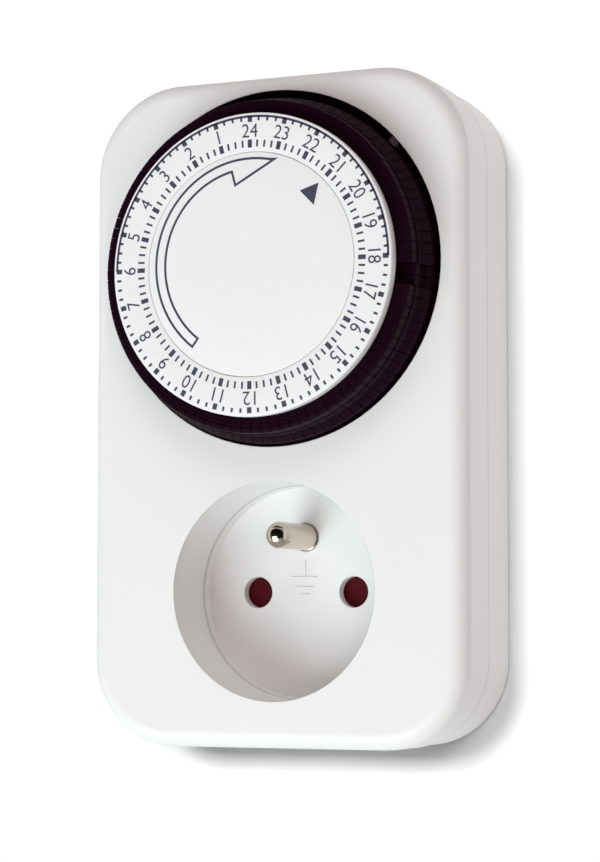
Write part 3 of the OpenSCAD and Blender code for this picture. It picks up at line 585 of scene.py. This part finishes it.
class TIMER_OT_shells(bpy.types.Operator):
    """Front and rear shell, with soft edges and a fine moulded grain"""
    bl_idname = "timer.shells"
    bl_label = "Shells"

    def execute(self, context):
        front = dressed("front_shell", "front_shell_skin", "housing", "housing_plastic").data
        points = coordinates(front)
        at_seam = np.abs(points[:, 1] - SEAM_PLACE) < SHRUNK
        points[at_seam, 1] -= context.scene.timer_sizes.seam_gap
        front.vertices.foreach_set("co", points.reshape(-1))
        front.update()
        dressed("rear_shell", "rear_shell_skin", "housing", "housing_plastic")
        return {"FINISHED"}


class TIMER_OT_well_liner(bpy.types.Operator):
    """Dark ring that lines the well, with a flange on its floor, and the small time pointer"""
    bl_idname = "timer.well_liner"
    bl_label = "Well liner and pointer"

    def execute(self, context):
        sizes = context.scene.timer_sizes
        outer, thick = 32.07, sizes.liner_wall * MM
        inner, foot = outer - thick, outer - thick - 1.2
        floor, rim, soft = -5.2, -0.15, 0.06
        above_axis = 0.6
        profile = [[foot, floor], [outer, floor], [outer, rim], [inner + soft, rim],
                   [inner, rim - soft], [inner, floor + thick], [foot, floor + thick]]
        notch, notch_half = math.radians(45), 0.05
        start, end = notch + notch_half, notch + 2 * math.pi - notch_half
        flange_outer, flange_inner = 30.7, 29.2
        flange = np.concatenate([arc(flange_outer, start, end, sizes.steps),
                                 arc(flange_inner, end, start, sizes.steps)])
        build("well_liner_ring", [turned(profile, sizes.steps, True),
                                  slab([flange], floor, floor + thick - 0.01)],
              "housing", finish_for("liner_plastic"), ("well_liner",),
              lift=(0, DIAL_AXIS + above_axis, 0))
        mark_angle, mark_inner, mark_outer, mark_width, mark_low = 43.1, 31.2, 32.3, 1.6, -1.2
        mark = slab(polar_boxes([math.radians(mark_angle)], mark_inner, mark_outer, mark_width),
                    mark_low, rim)
        build("time_pointer", [mark], "housing", finish_for("pointer_plastic"),
              lift=ON_DIAL)
        return {"FINISHED"}


class TIMER_OT_earth_symbol(bpy.types.Operator):
    """Raised earth symbol on the floor of the socket recess"""
    bl_idname = "timer.earth_symbol"
    bl_label = "Earth symbol"

    def execute(self, context):
        rise, bevel = context.scene.timer_sizes.symbol_height * MM, 0.075
        recess_floor = -14.6
        # each bar's left, lower, right and upper side
        bars = np.array([[-0.22, 2.9, 0.08, 5.75], [-3.05, 2.61, 2.3, 2.91],
                         [-1.88, 0.79, 1.5, 1.09], [-0.82, -0.57, 0.78, -0.27]])
        low, high = bars[:, :2], bars[:, 2:]
        foot = np.stack([low, np.stack([high[:, 0], low[:, 1]], -1), high,
                         np.stack([low[:, 0], high[:, 1]], -1)], 1)
        top = foot + np.clip(foot.mean(1, keepdims=True) - foot, -bevel, bevel)
        rings = ((foot, -0.2), (foot, 0.4 * rise), (top, rise))
        points = np.concatenate([at_height(ring, z) for ring, z in rings], 1)
        start = np.arange(len(bars))[:, None, None] * 4 * len(rings)
        walls = (sheet(len(rings), 4, False, True)[None] + start).reshape(-1, 4)
        ends = (np.array([[3, 2, 1, 0], [8, 9, 10, 11]])[None] + start).reshape(-1, 4)
        build("earth_symbol", [(points.reshape(-1, 3), walls, ends)], "housing",
              finish_for("housing_plastic"), lift=(0, 0, recess_floor), crease=60)
        return {"FINISHED"}


class TIMER_OT_centre_disc(bpy.types.Operator):
    """Fixed centre disc on its stem: a profile turned round the dial's axis"""
    bl_idname = "timer.centre_disc"
    bl_label = "Centre disc"

    def execute(self, context):
        sizes = context.scene.timer_sizes
        edge, soft = sizes.disc_radius * MM, 0.1
        under, neck, neck_low, stem, stem_low = 8.2, 6.5, 7.6, 3, -2.9
        round_off = arc(soft, math.pi / 2, 0, 5) + [edge - soft, DIAL_FACE - soft]
        profile = np.concatenate([
            [[0, DIAL_FACE], [edge / 2, DIAL_FACE]], round_off,
            [[edge, under + soft], [edge - soft, under], [neck, under], [neck, neck_low],
             [stem, neck_low], [stem, stem_low], [0, stem_low]]])
        build("centre_disc_face", [turned(profile, sizes.steps)], "housing",
              finish_for("dial_plastic"), ("centre_disc",), lift=ON_DIAL)
        return {"FINISHED"}


class TIMER_OT_number_ring(bpy.types.Operator):
    """Turning number ring with a soft outer edge: a closed profile turned round the dial's axis"""
    bl_idname = "timer.number_ring"
    bl_label = "Number ring"

    def execute(self, context):
        sizes = context.scene.timer_sizes
        outer, inner, edge = (v * MM for v in (sizes.ring_radius, sizes.ring_bore, sizes.ring_edge))
        soft, step, under, low = 0.08, 0.15, 8.45, 7.45
        outside = arc(edge, 0, math.pi / 2, 6) + [outer - edge, DIAL_FACE - edge]
        inside = arc(soft, math.pi / 2, math.pi, 4) + [inner + soft, DIAL_FACE - soft]
        profile = np.concatenate([
            [[outer, under]], outside, inside,
            [[inner, low], [outer - step, low], [outer - step, under - 0.1]]])
        build("number_ring_face", [turned(profile, sizes.steps, True)], "dial",
              finish_for("dial_plastic"), ("number_ring",), lift=ON_DIAL)
        return {"FINISHED"}


NUMERAL_NARROW = 0.92  # width of the numbers to the font's
NUMERAL_THIN = -0.002  # how far their outlines move, in units of the font


def ink_heights(sizes):
    """Lower and upper height of the ink, which starts a little inside the dial's face."""
    return DIAL_FACE - 0.05, DIAL_FACE + sizes.print_height * MM


class TIMER_OT_ring_print(bpy.types.Operator):
    """Quarter-hour ticks, the night line and the hour numbers of the number ring"""
    bl_idname = "timer.ring_print"
    bl_label = "Number ring print"

    def execute(self, context):
        sizes = context.scene.timer_sizes
        low, top = ink_heights(sizes)
        quarter = MIDNIGHT + np.arange(TAPPETS) * TAPPET_PITCH
        whole = np.arange(TAPPETS) % QUARTERS == 0
        # which ticks, inner and outer radius, width
        ticks = ((whole, 20.62, 22.05, 0.8), (~whole, 20.75, 21.98, 0.36),
                 (whole, 25.2, 26.25, 0.85), (~whole, 25.42, 26.2, 0.4))
        shapes = [slab(polar_boxes(quarter[pick], inner, outer, width), low, top)
                  for pick, inner, outer, width in ticks]
        steps, night_inner, night_outer = 97, 25.99, 26.4
        night = np.stack([arc(radius, 0, math.pi, steps) for radius in (night_inner, night_outer)])
        level = np.stack([at_height(night, z) for z in (low, top)])
        section = level[[0, 0, 1, 1], [0, 1, 1, 0]]
        tips = np.arange(4) * steps + np.array([[0], [steps - 1]])
        shapes.append((section.reshape(-1, 3), sheet(4, steps, True), tips))
        shapes += self.numerals(sizes, low, top)
        build("ring_print", shapes, "dial", finish_for("dial_ink"), lift=ON_DIAL,
              crease=50)
        return {"FINISHED"}

    @staticmethod
    def numerals(sizes, low, top):
        """The numbers 1 to 24, 15 degrees apart and running anticlockwise, with their tops
        outwards: each is made a mesh, narrowed, moved out to its radius and turned to its hour."""
        words = bpy.data.curves.new("hour", "FONT")
        words.align_x = "CENTER"
        words.align_y = "CENTER"
        words.extrude = 0.5
        words.resolution_u = 4
        words.offset = NUMERAL_THIN
        holder = bpy.data.objects.new("hour", words)
        bpy.context.scene.collection.objects.link(holder)
        shapes = []
        for hour in range(1, HOURS + 1):
            words.body = str(hour)
            view = bpy.context.evaluated_depsgraph_get()
            view.update()
            mesh = bpy.data.meshes.new_from_object(holder.evaluated_get(view))
            points = coordinates(mesh)
            reach = points[:, 1].max() - points[:, 1].min()
            scale = sizes.numeral_height * MM / reach
            points[:, :2] -= (points[:, :2].max(0) + points[:, :2].min(0)) / 2
            upright = [points[:, 1] * scale, -points[:, 0] * scale * NUMERAL_NARROW]
            flat = placed(np.stack(upright, -1), MIDNIGHT + hour * 2 * math.pi / HOURS,
                          sizes.numeral_radius * MM)
            height = np.where(points[:, 2] > 0, top, low)[:, None]
            corner = np.array([p.loop_total for p in mesh.polygons])
            index = np.empty(len(mesh.loops), int)
            mesh.loops.foreach_get("vertex_index", index)
            starts = np.array([p.loop_start for p in mesh.polygons])
            faces = [index[starts[corner == n][:, None] + np.arange(n)] for n in np.unique(corner)]
            shapes.append((np.concatenate([flat, height], 1), *faces))
            bpy.data.meshes.remove(mesh)
        bpy.data.objects.remove(holder)
        bpy.data.curves.remove(words)
        return shapes


class TIMER_OT_disc_print(bpy.types.Operator):
    """Outlined turning arrow and filled time mark on the centre disc"""
    bl_idname = "timer.disc_print"
    bl_label = "Centre disc print"

    def execute(self, context):
        sizes = context.scene.timer_sizes
        low, top = ink_heights(sizes)
        half = sizes.line_width * MM / 2
        outer, inner = 18.28, 16.5
        tail, outer_end, inner_end = (math.radians(v) for v in (232.7, 78, 102))
        head = np.array([[4.81, 17.83], [-2.77, 13.69]])
        path = np.concatenate([arc(outer, tail, outer_end, 80), head,
                               arc(inner, inner_end, tail, 66)])
        across = loop_normals(path, 0.25) * half
        outside, inside = path + across, path - across
        level = [at_height(ring, z) for ring, z in ((outside, low), (outside, top),
                                                    (inside, top), (inside, low))]
        middle = [-0.05, 0.43, 0]
        arrow = (np.concatenate(level) + middle, sheet(4, len(path), True, True))
        triangle = [[13.19, 13.49], [9.62, 12.35], [12.28, 9.61]]
        mark = slab([triangle], low, top)
        build("disc_print", [arrow, mark], "housing", finish_for("dial_ink"),
              lift=ON_DIAL, crease=50)
        return {"FINISHED"}


TAPPET_BORE = 26.1  # radius of the tappets' inner side
TAPPET_LOW = -2.6
SHOULDER = 4.9  # underside of the head
GROOVES = (27.1, 27.8, 28.5)
GROOVE_HALF = 0.15
EDGE_DRAWN_IN = 0.09
PRESSED_HOUR = 17
PRESSED_QUARTERS = (2, 3)
PLAY_SEED = 7


def tappet_outline(sizes):
    """Section of a tappet through the dial's axis as a loop of (radius, height): stepped foot,
    upper edge and a top with three V grooves."""
    top, edge, foot = (v * MM for v in (sizes.tappet_top, sizes.tappet_edge, sizes.tappet_foot))
    deep = sizes.tappet_groove * MM
    step, back = edge + 0.25, 28.15
    grooves = [[radius + side, top - drop] for radius in GROOVES
               for side, drop in ((-GROOVE_HALF, 0), (0, deep), (GROOVE_HALF, 0))]
    return np.array([
        [TAPPET_BORE, SHOULDER], [TAPPET_BORE, top], *grooves, [edge - 0.25, top],
        [edge - 0.07, top - 0.07], [edge, top - 0.25], [edge, SHOULDER + 0.05],
        [step, SHOULDER - 0.05], [step, 3.1], [foot - 0.08, 1.68], [foot, 1.5], [foot, TAPPET_LOW],
        [back, TAPPET_LOW], [back, SHOULDER]])


def tappet_shapes(sizes, angles, drops):
    """Heads and stems of tappets at given angles: the section is carried over the tappet's width at
    four stations, the outer two drawn in a little for soft edges, and each is lowered by its own
    drop."""
    section = tappet_outline(sizes)
    drawn_in = section - loop_normals(section) * EDGE_DRAWN_IN
    wide = (TAPPET_PITCH - sizes.tappet_gap) / 2
    soft = 0.1 / 29  # angle of 0.1 mm at the head's radius
    stations = ((-wide, drawn_in), (-wide + soft, section), (wide - soft, section),
                (wide, drawn_in))
    stem_outer, stem_top = 28.4, 5.4
    stem = np.array([[TAPPET_BORE, TAPPET_LOW], [stem_outer, TAPPET_LOW], [stem_outer, stem_top],
                     [TAPPET_BORE, stem_top]])
    guide = math.radians(1.7)
    half = (TAPPET_PITCH - guide) / 2
    shapes = []
    for loops in (stations, ((-half, stem), (half, stem))):
        count = len(loops[0][1])
        turns = np.array([turn for turn, _ in loops])
        angle = np.asarray(angles)[:, None, None] + turns[None, :, None]
        outline = np.stack([loop for _, loop in loops])[None]
        radius, height = outline[..., 0], outline[..., 1] - np.asarray(drops)[:, None, None]
        ways = (radius * np.cos(angle), radius * np.sin(angle), height)
        points = np.stack(np.broadcast_arrays(*ways), -1)
        start = np.arange(len(angles))[:, None, None] * len(loops) * count
        sides = (sheet(len(loops), count, False, True)[None] + start).reshape(-1, 4)
        ends = np.stack([np.arange(count)[::-1], np.arange(count) + (len(loops) - 1) * count])
        shapes.append((points.reshape(-1, 3), sides, (ends[None] + start).reshape(-1, count)))
    return shapes


class TIMER_OT_tappets(bpy.types.Operator):
    """The 96 captive tappets, one piece for each hour and one for the two that are pressed in"""
    bl_idname = "timer.tappets"
    bl_label = "Tappets"

    def execute(self, context):
        sizes = context.scene.timer_sizes
        play = np.random.default_rng(PLAY_SEED).uniform(0, sizes.tappet_play * MM, TAPPETS)
        for hour in range(HOURS):
            free = PRESSED_QUARTERS[0] if hour == PRESSED_HOUR else QUARTERS
            places = hour * QUARTERS + np.arange(free)
            self.tappets(sizes, f"tappets_{hour:02d}", places, play[places])
        places = PRESSED_HOUR * QUARTERS + np.array(PRESSED_QUARTERS)
        self.tappets(sizes, f"tappets_{PRESSED_HOUR}_pressed", places,
                     play[places] + sizes.pressed_by * MM)
        return {"FINISHED"}

    @staticmethod
    def tappets(sizes, name, places, drops):
        """The tappets of one body."""
        shapes = tappet_shapes(sizes, MIDNIGHT + places * TAPPET_PITCH, drops)
        build(name + "_shape", shapes, name, finish_for("tappet_plastic"),
              (name,), lift=ON_DIAL)


class TIMER_OT_earth_pin(bpy.types.Operator):
    """Earth pin with its collar and domed tip: a profile turned round the pin's axis"""
    bl_idname = "timer.earth_pin"
    bl_label = "Earth pin"

    def execute(self, context):
        radius = context.scene.timer_sizes.pin_radius * MM
        tip, root, collar, collar_top, axis = -0.6, -25, 2.6, -14.4, 10
        dome = arc(radius, 0, math.pi / 2, 14) + [0, tip - radius]
        profile = np.concatenate([
            [[0, root], [collar, root], [collar, collar_top - 0.05], [collar - 0.05, collar_top],
             [radius, collar_top]], dome[:-1], [[0, tip]]])
        build("earth_pin_turned", [turned(profile, 64)], "housing",
              finish_for("pin_nickel"), ("earth_pin",), lift=(0, axis, 0), crease=40)
        return {"FINISHED"}


class TIMER_OT_back_fittings(bpy.types.Operator):
    """Plug pins, earth clips, case screws and the shutter, with smooth faces"""
    bl_idname = "timer.back_fittings"
    bl_label = "Pins, clips, screws and shutter"

    def execute(self, context):
        for name, body, slot in (("live_plug_pin", "housing", "pin_nickel"),
                                 ("neutral_plug_pin", "housing", "pin_nickel"),
                                 ("earth_clips", "housing", "pin_nickel"),
                                 ("case_screws", "housing", "zinc_steel"),
                                 ("shutter", "shutter", "shutter_plastic"),
                                 ("tappet_carrier", "dial", "carrier_plastic")):
            dressed(name, name + "_skin", body, slot)
        return {"FINISHED"}


class TIMER_OT_movement(bpy.types.Operator):
    """Finishes of the gear train, motor, switch and contacts inside the housing"""
    bl_idname = "timer.movement"
    bl_label = "Movement and contacts"

    def execute(self, context):
        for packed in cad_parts.values():
            for place, slot in enumerate([m.name for m in packed.data.materials]):
                packed.data.materials[place] = finish_for(slot.split(".")[0])
        return {"FINISHED"}


# ---- studio ------------------------------------------------------------------

# name, turn to the right and up in degrees as seen from the dial, distance, size, power, colour
LAMPS = (
    ("soft_key", -20, -35, 1.1, 0.8, 9.4, (0.90, 1.04, 1.05)),
    ("soft_top", 10, 50, 1.1, 0.7, 3.5, (1.07, 0.98, 0.96)),
    ("soft_left", -55, 0, 1.1, 0.6, 1.8, (1.08, 0.97, 0.98)),
    ("soft_low", 35, -45, 1.1, 0.6, 0.9, (1.16, 0.93, 0.92)),
    ("soft_side", 28, -3, 1.1, 0.5, 1.9, (1.22, 0.90, 0.89)),
    ("soft_right", 72, 5, 1.1, 0.6, 1.0, (1.12, 0.96, 0.90)),
    ("soft_back", 180, 10, 1.2, 0.9, 8.0, (1.0, 1.0, 1.0)),
)
# these two light only the wall and the floor
BACKDROP_LAMPS = (
    ("backdrop_lamp", -3.6, 9.1, 2.0, 0.4, 30.0, (1, 1, 1)),
    ("backdrop_side", 14, 8.6, 2.0, 0.4, 13.0, (1, 1, 1)),
)
IN_GLOSS = ("soft_key", "soft_back", "backdrop_lamp", "backdrop_side")
AIM = Vector((0, -0.03, 0.03))
PAPER_SEEN = 0.9  # share of light that the paper gives back to the camera
PAPER_BOUNCE = 0.66  # and to everything else
WALL_PLACE = -0.0159  # at the housing's back
FLOOR_HEIGHT = -1.1
ROOM_HALF = 1.5
ROOM_DEEP = 1.6
CARD_HALF, CARD_HIGH = 3, 2.4
CAMERA_PLACE = (0.19189, -0.45998, -0.00774)
CAMERA_RIGHT = (0.9137501, 0.4062758, 0.0008664)
CAMERA_DOWN = (-0.0309360, 0.0717037, -0.9969461)
CAMERA_AHEAD = (-0.4050972, 0.9109328, 0.0780878)
FOCAL_PIXELS = 2601.92
FRAME_PIXELS = 862
SENSOR = 36


class TIMER_OT_studio(bpy.types.Operator):
    """Pale wall and floor, soft lights and the camera"""
    bl_idname = "timer.studio"
    bl_label = "Studio"

    def execute(self, context):
        scene = context.scene
        wall = self.plane("pale_wall", (-ROOM_HALF, WALL_PLACE, FLOOR_HEIGHT),
                          (ROOM_HALF, WALL_PLACE, ROOM_DEEP), self.paper("pale_wall"))
        floor = self.plane("pale_floor", (-ROOM_HALF, -ROOM_DEEP, FLOOR_HEIGHT),
                           (ROOM_HALF, ROOM_DEEP, FLOOR_HEIGHT), self.paper("pale_floor"))
        card = self.plane("dark_card", (CARD_HALF, -ROOM_DEEP, -CARD_HIGH),
                          (-CARD_HALF, -ROOM_DEEP, CARD_HIGH), self.dark())
        for piece in (wall, floor, card):
            piece.visible_shadow = False
        card.visible_camera = card.visible_diffuse = card.visible_transmission = False
        backdrop = bpy.data.collections.new("backdrop")
        rest = bpy.data.collections.new("without_backdrop")
        for piece in (wall, floor):
            backdrop.objects.link(piece)
            rest.objects.link(piece)
        for entry in rest.collection_objects:
            entry.light_linking.link_state = "EXCLUDE"
        for lamps, receivers in ((LAMPS, rest), (BACKDROP_LAMPS, backdrop)):
            for name, *settings in lamps:
                light = self.lamp(name, *settings)
                light.light_linking.receiver_collection = receivers
                light.visible_glossy = name in IN_GLOSS
        self.surroundings(scene)
        scene.view_settings.view_transform = "Standard"
        lens = bpy.data.cameras.new("camera")
        lens.sensor_width = SENSOR
        lens.lens = FOCAL_PIXELS / FRAME_PIXELS * SENSOR
        camera = bpy.data.objects.new("camera", lens)
        axes = [CAMERA_RIGHT, [-v for v in CAMERA_DOWN], [-v for v in CAMERA_AHEAD]]
        turn = Matrix(axes).transposed().to_4x4()
        camera.matrix_world = Matrix.Translation(CAMERA_PLACE) @ turn
        scene.collection.objects.link(camera)
        scene.camera = camera
        return {"FINISHED"}

    @staticmethod
    def surroundings(scene):
        """The world: white where it is seen, also in metal, and dark as a light."""
        world = bpy.data.worlds.new("studio")
        scene.world = world
        world.use_nodes = True
        tree = world.node_tree
        tree.nodes.clear()
        path = node(tree, "ShaderNodeLightPath")
        seen = path.outputs["Is Camera Ray"]
        for kind in ("Is Glossy Ray", "Is Transmission Ray"):
            seen = math_node(tree, "MAXIMUM", seen, path.outputs[kind])
        white = node(tree, "ShaderNodeBackground")
        white.inputs["Color"].default_value = (1, 1, 1, 1)
        feed(tree, seen, white.inputs["Strength"])
        feed(tree, white.outputs[0], node(tree, "ShaderNodeOutputWorld").inputs["Surface"])

    @staticmethod
    def plane(name, start, end, paint):
        """A flat stage piece with one face, between two opposite corners."""
        corners = [start, (end[0], *start[1:]), end, (start[0], *end[1:])]
        mesh = bpy.data.meshes.new(name)
        mesh.from_pydata(corners, [], [(0, 1, 2, 3)])
        piece = bpy.data.objects.new(name, mesh)
        bpy.context.scene.collection.objects.link(piece)
        mesh.materials.append(paint)
        return piece

    @staticmethod
    def paper(name):
        """Matt paper, paler to the eye than as a reflector, and nothing from behind."""
        paint, tree, _ = blank(name)
        tree.nodes.clear()
        surface = node(tree, "ShaderNodeBsdfDiffuse")
        seen = node(tree, "ShaderNodeLightPath").outputs["Is Camera Ray"]
        more = math_node(tree, "MULTIPLY", seen, PAPER_SEEN - PAPER_BOUNCE)
        feed(tree, math_node(tree, "ADD", more, PAPER_BOUNCE), surface.inputs["Color"])
        mix = node(tree, "ShaderNodeMixShader")
        feed(tree, node(tree, "ShaderNodeNewGeometry").outputs["Backfacing"], mix.inputs[0])
        feed(tree, surface.outputs[0], mix.inputs[1])
        feed(tree, node(tree, "ShaderNodeBsdfTransparent").outputs[0], mix.inputs[2])
        feed(tree, mix.outputs[0], node(tree, "ShaderNodeOutputMaterial").inputs["Surface"])
        return paint

    @staticmethod
    def dark():
        """Dark card that only gloss and metal see."""
        paint, tree, _ = blank("dark_card")
        tree.nodes.clear()
        surface = node(tree, "ShaderNodeBsdfDiffuse")
        surface.inputs["Color"].default_value = (0.01, 0.008, 0.01, 1)
        feed(tree, surface.outputs[0], node(tree, "ShaderNodeOutputMaterial").inputs["Surface"])
        return paint

    @staticmethod
    def lamp(name, turn, rise, far, size, power, tint):
        """A square soft light that faces the housing from a direction: out from the aim by the
        distance, along (sin turn cos rise, -cos turn cos rise, sin rise)."""
        turn, rise = math.radians(turn), math.radians(rise)
        way = Vector((math.sin(turn) * math.cos(rise), -math.cos(turn) * math.cos(rise),
                      math.sin(rise)))
        light = bpy.data.lights.new(name, "AREA")
        light.size = size
        light.energy = power
        light.color = tint
        holder = bpy.data.objects.new(name, light)
        bpy.context.scene.collection.objects.link(holder)
        holder.location = AIM + way * far
        holder.rotation_mode = "QUATERNION"
        holder.rotation_quaternion = (-way).to_track_quat("-Z", "Y")
        holder.visible_camera = False
        return holder


PIECES = (TIMER_OT_shells, TIMER_OT_well_liner, TIMER_OT_earth_symbol, TIMER_OT_centre_disc,
          TIMER_OT_number_ring, TIMER_OT_ring_print, TIMER_OT_disc_print, TIMER_OT_tappets,
          TIMER_OT_earth_pin, TIMER_OT_back_fittings, TIMER_OT_movement, TIMER_OT_studio)


class TIMER_PT_panel(bpy.types.Panel):
    """Lists the pieces of the timer switch and their sizes and colours"""
    bl_idname = "TIMER_PT_panel"
    bl_label = "Timer switch"
    bl_space_type = "VIEW_3D"
    bl_region_type = "UI"
    bl_category = "Timer switch"

    def draw(self, context):
        layout = self.layout
        for piece in PIECES:
            layout.operator(piece.bl_idname)
        for values in (context.scene.timer_sizes, context.scene.timer_colours):
            box = layout.box()
            for key in values.__annotations__:
                box.prop(values, key)


CLASSES = (TimerSizes, TimerColours, *PIECES, TIMER_PT_panel)


def register():
    """Registers the classes and gives the scene its sizes and colours."""
    for item in CLASSES:
        bpy.utils.register_class(item)
    bpy.types.Scene.timer_sizes = PointerProperty(type=TimerSizes)
    bpy.types.Scene.timer_colours = PointerProperty(type=TimerColours)


def unregister():
    """Takes back what register() does."""
    del bpy.types.Scene.timer_colours
    del bpy.types.Scene.timer_sizes
    for item in reversed(CLASSES):
        bpy.utils.unregister_class(item)


def main():
    """Runs every piece's operator in turn."""
    register()
    for piece in PIECES:
        group, _, action = piece.bl_idname.partition(".")
        getattr(getattr(bpy.ops, group), action)()


if __name__ == "__main__":
    main()
